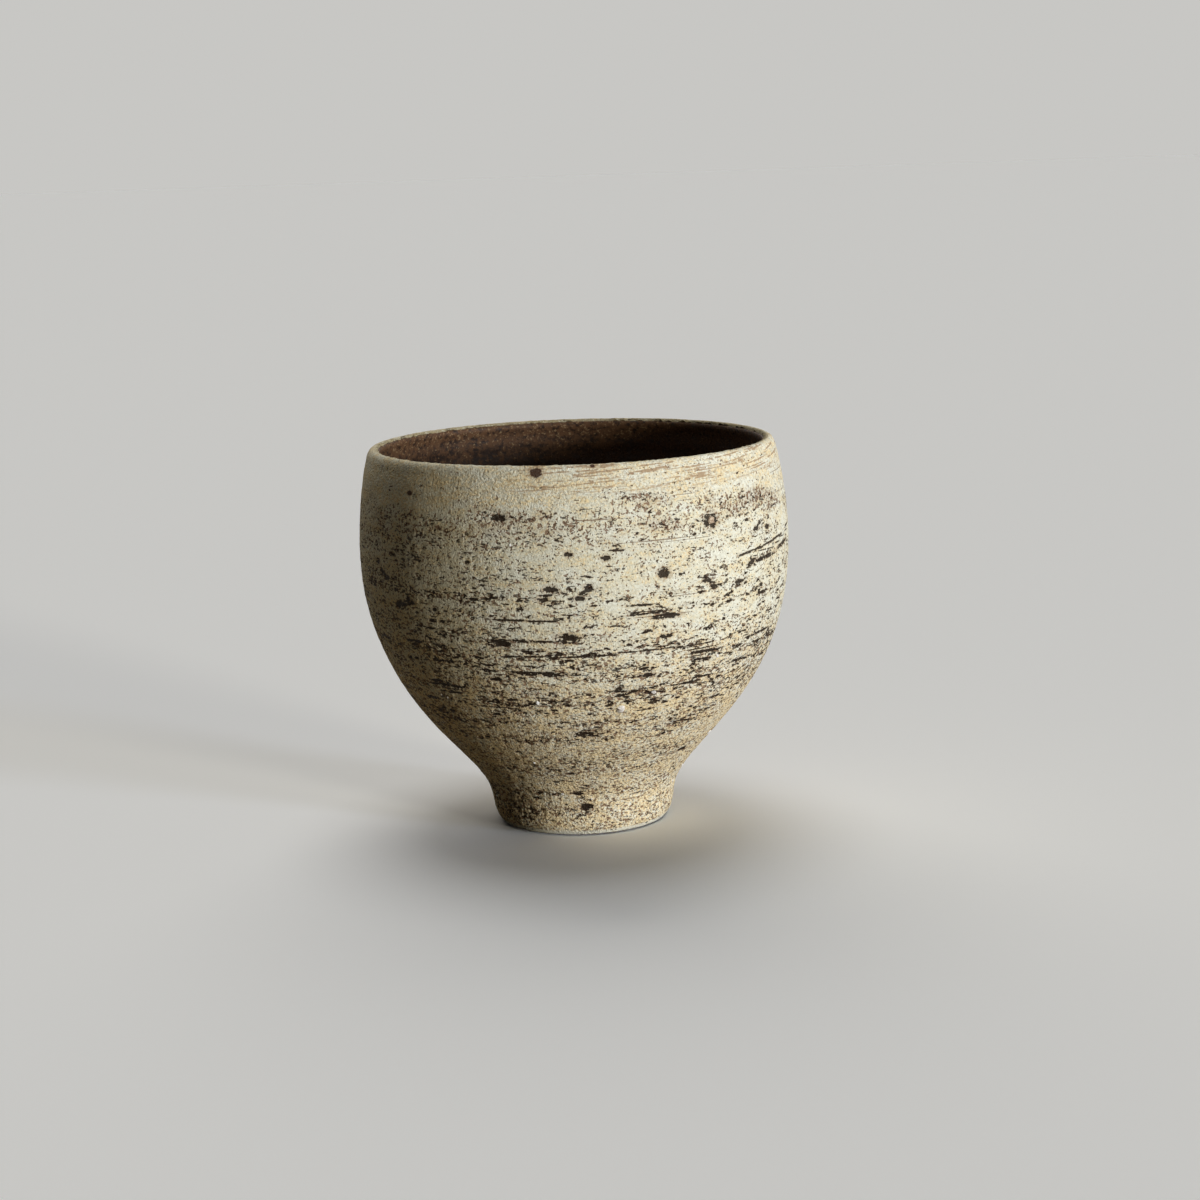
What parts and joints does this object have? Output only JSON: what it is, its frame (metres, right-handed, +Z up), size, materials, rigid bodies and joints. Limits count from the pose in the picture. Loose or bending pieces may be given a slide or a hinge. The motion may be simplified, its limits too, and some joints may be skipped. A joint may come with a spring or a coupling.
{
  "type": "ceramic tumbler",
  "caption": "Handleless wheel-thrown stoneware cup: a round bowl with a turned-in lip on a small hollow foot, pale slip outside and dark glaze inside, to drink from.",
  "frame": {"origin": "middle of the base, on the surface that the cup stands on", "axes": "+Z up along the axis that the cup was thrown about"},
  "size_m": [0.094, 0.094, 0.0842],
  "materials": {
    "dark_clay": "rough fired stoneware",
    "bare_foot": "bare turned stoneware",
    "pale_slip": "matte slip torn into dark pits and level streaks",
    "brown_glaze": "satin brown glaze"
  },
  "bodies": {
    "root": {"clay_bowl": "dark_clay", "foot_ring": "bare_foot", "slip_coat": "pale_slip", "inner_glaze": "brown_glaze"}
  },
  "joints": []
}
